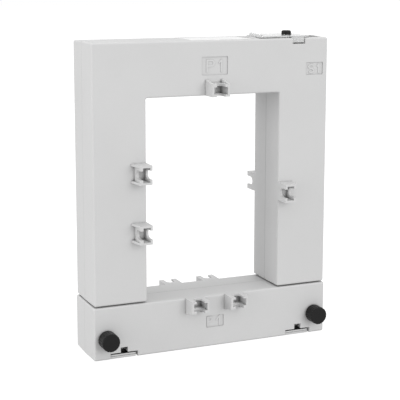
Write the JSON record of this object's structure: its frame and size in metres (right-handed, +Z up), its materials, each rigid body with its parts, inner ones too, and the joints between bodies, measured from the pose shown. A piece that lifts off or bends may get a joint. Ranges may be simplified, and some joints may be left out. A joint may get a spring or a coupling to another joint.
{
  "type": "split-core current transformer",
  "caption": "Split-core current transformer: U-shaped housing on a removable base with thumb screws, tall busbar window, screw sockets round the window and clear terminal cover.",
  "frame": {"origin": "on the resting face of the base, in the middle of the housing's width, at the moulding seam between the front and rear shells", "axes": "+X to the right seen from the front, +Y from the front face with the knobs towards the back, +Z up the window; the busbar runs along Y"},
  "size_m": [0.144, 0.0508, 0.1782],
  "materials": {
    "housing": "light grey moulded flame-retardant plastic, fine matt grain",
    "knob": "black moulded plastic",
    "steel": "zinc-plated steel",
    "spring_steel": "blued spring steel strip",
    "brass": "turned brass",
    "terminal_steel": "nickel-plated steel",
    "core_steel": "wound silicon steel strip, ground pole faces",
    "bobbin": "dark glass-filled plastic",
    "copper": "enamelled copper wire",
    "lead": "red insulated stranded lead",
    "block": "dark grey moulded plastic",
    "clear": "clear polycarbonate",
    "cover_screw": "black oxide steel",
    "label": "white polyester label, bare"
  },
  "bodies": {
    "housing": {"upper_front_shell": "housing", "upper_rear_shell": "housing", "base_front_shell": "housing", "base_rear_shell": "housing", "foot_front_left": "housing", "foot_front_right": "housing", "foot_rear_left": "housing", "foot_rear_right": "housing", "leaf_spring_left": "spring_steel", "leaf_spring_right": "spring_steel", "thread_insert_left": "brass", "thread_insert_right": "brass", "terminal_clamp_s1": "brass", "terminal_clamp_s2": "brass", "cover_insert": "brass", "terminal_screw_s1": "terminal_steel", "terminal_screw_s2": "terminal_steel", "core_u": "core_steel", "core_yoke": "core_steel", "bobbin_left": "bobbin", "bobbin_right": "bobbin", "winding_left": "copper", "winding_right": "copper", "lead_s1": "lead", "lead_s2": "lead", "lead_link": "lead", "terminal_block": "block", "terminal_cover": "clear", "cover_screw": "cover_screw", "rating_label": "label"},
    "screw_travel_left": {"retaining_ring_left": "steel"},
    "screw_travel_right": {"retaining_ring_right": "steel"},
    "thumb_screw_left": {"knob_left": "knob", "stud_left": "steel"},
    "thumb_screw_right": {"knob_right": "knob", "stud_right": "steel"}
  },
  "joints": [
    {"name": "screw_travel_left", "type": "slide", "parent": "housing", "child": "screw_travel_left", "axis": [0, -1, 0], "range_m": [0, 0.00805]},
    {"name": "thumb_screw_left", "type": "hinge", "parent": "screw_travel_left", "child": "thumb_screw_left", "pos_m": [-0.0643, -0.016, 0.012], "axis": [0, -1, 0], "range_deg": [0, 4140]},
    {"name": "screw_travel_right", "type": "slide", "parent": "housing", "child": "screw_travel_right", "axis": [0, -1, 0], "range_m": [0, 0.00805]},
    {"name": "thumb_screw_right", "type": "hinge", "parent": "screw_travel_right", "child": "thumb_screw_right", "pos_m": [0.0643, -0.016, 0.012], "axis": [0, -1, 0], "range_deg": [0, 4140]}
  ],
  "couplings": [
    {"joint": "thumb_screw_left", "follows": "screw_travel_left", "rad_per_m": 8976},
    {"joint": "thumb_screw_right", "follows": "screw_travel_right", "rad_per_m": 8976}
  ]
}
